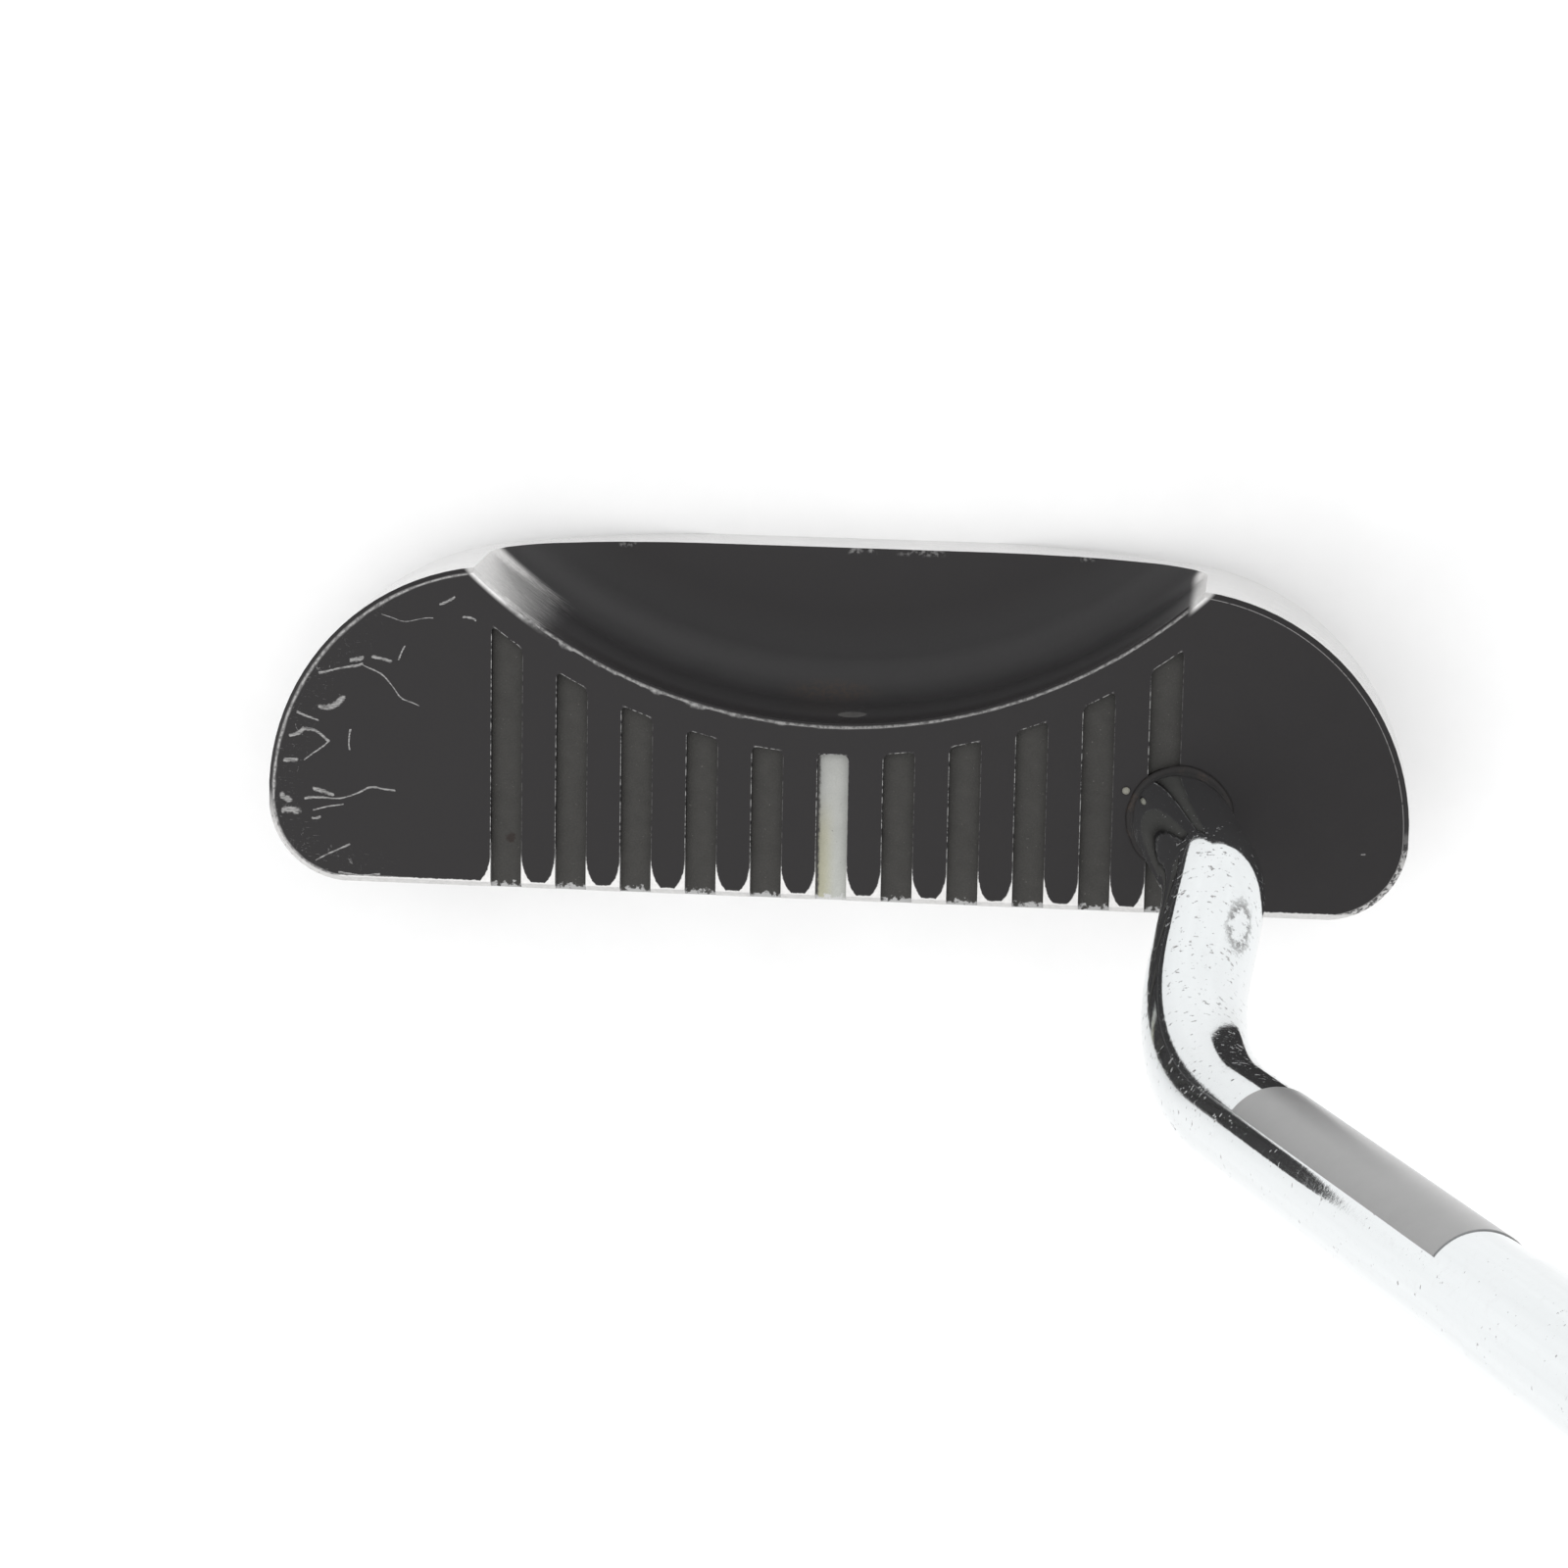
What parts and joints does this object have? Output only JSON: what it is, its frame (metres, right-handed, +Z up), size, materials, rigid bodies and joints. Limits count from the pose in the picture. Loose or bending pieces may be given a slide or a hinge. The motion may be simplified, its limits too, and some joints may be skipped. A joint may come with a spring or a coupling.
{
  "type": "blade putter",
  "caption": "Right-handed half-mallet blade putter: grooved black crown with a white sight line, scooped back, double-bend chrome shaft and swelling grip with one flat.",
  "frame": {"origin": "on the ground under the sight line, at the middle of the head's depth, on the sole's flat pad", "axes": "+X from the sight line towards the heel, +Y from the striking face towards the back of the head, +Z up"},
  "size_m": [0.4107, 0.0503, 0.833],
  "materials": {
    "head_black": "black baked paint on satin-polished steel, bare on the bevels",
    "groove_grey": "dark grey enamel set in milled grooves",
    "sight_white": "yellowed white enamel",
    "plug_steel": "turned steel plug, paint worn off",
    "shaft_chrome": "bright chrome plate with pitting and light rust",
    "shaft_glue": "cured epoxy, stained by rust",
    "label_foil": "plain satin grey foil",
    "tape_paper": "crepe paper tape",
    "grip_rubber": "moulded black rubber"
  },
  "bodies": {
    "root": {"head_body": "head_black", "sight_line_fill": "sight_white", "groove_fill_1": "groove_grey", "groove_fill_2": "groove_grey", "groove_fill_3": "groove_grey", "groove_fill_4": "groove_grey", "groove_fill_5": "groove_grey", "groove_fill_6": "groove_grey", "groove_fill_7": "groove_grey", "groove_fill_8": "groove_grey", "groove_fill_9": "groove_grey", "groove_fill_10": "groove_grey", "scoop_plug": "plug_steel", "shaft": "shaft_chrome", "shaft_glue": "shaft_glue", "shaft_label": "label_foil", "grip_tape": "tape_paper", "grip": "grip_rubber"}
  },
  "joints": []
}
